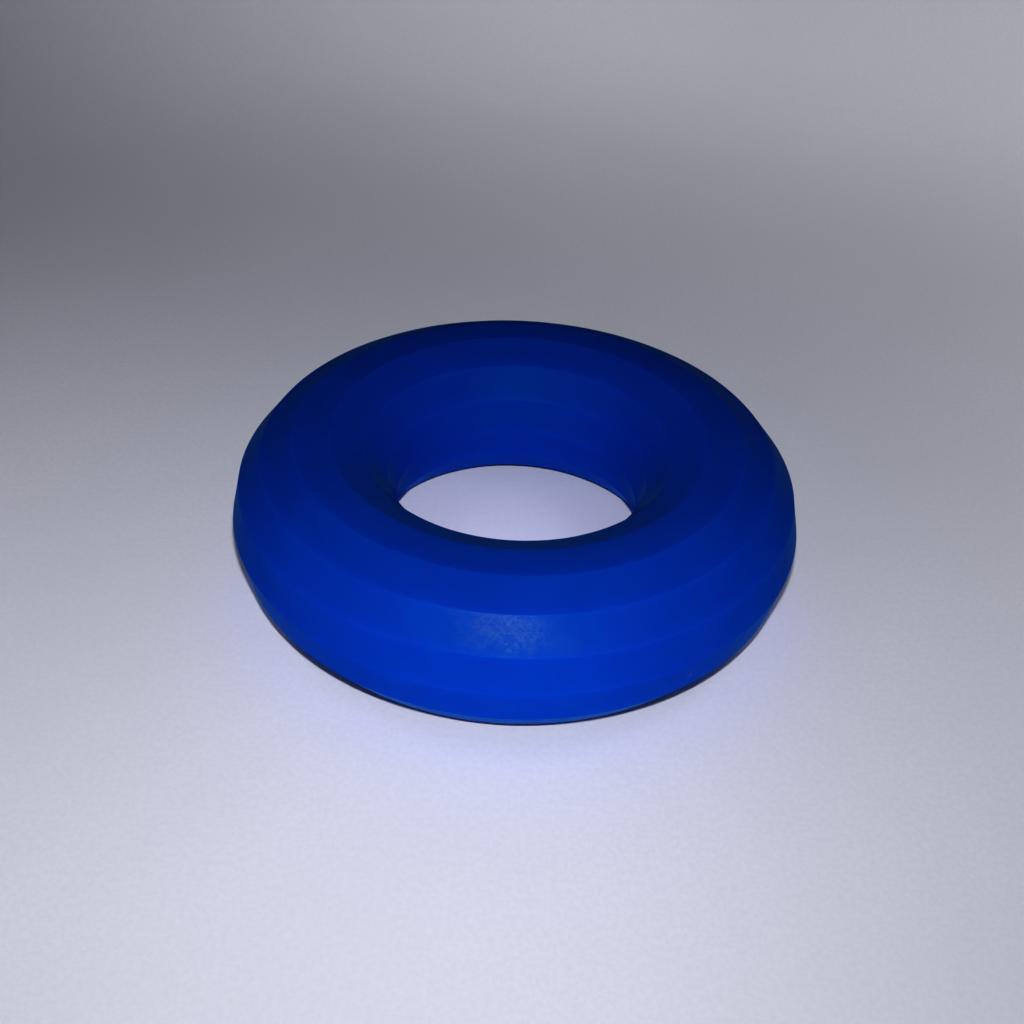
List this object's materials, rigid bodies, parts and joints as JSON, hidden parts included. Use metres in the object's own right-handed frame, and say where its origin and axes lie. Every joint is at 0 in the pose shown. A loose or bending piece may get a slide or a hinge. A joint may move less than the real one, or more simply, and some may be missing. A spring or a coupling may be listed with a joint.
{
  "type": "watch case friction ring",
  "caption": "Solid ring of soft rubber with flat bands round its section, pressed on a screwed watch case back and turned by hand to open it.",
  "frame": {"origin": "on the ring's axis, in the plane of the flat face that it rests on", "axes": "+Z along the ring's axis, up from the resting face to the gripping face; X and Y lie in the resting plane and are alike, because the ring is round"},
  "size_m": [0.07, 0.07, 0.02],
  "materials": {
    "silicone_blue": "matt moulded silicone rubber, with a fine grain and a faint pale bloom"
  },
  "bodies": {
    "root": {"friction_ring": "silicone_blue"}
  },
  "joints": []
}
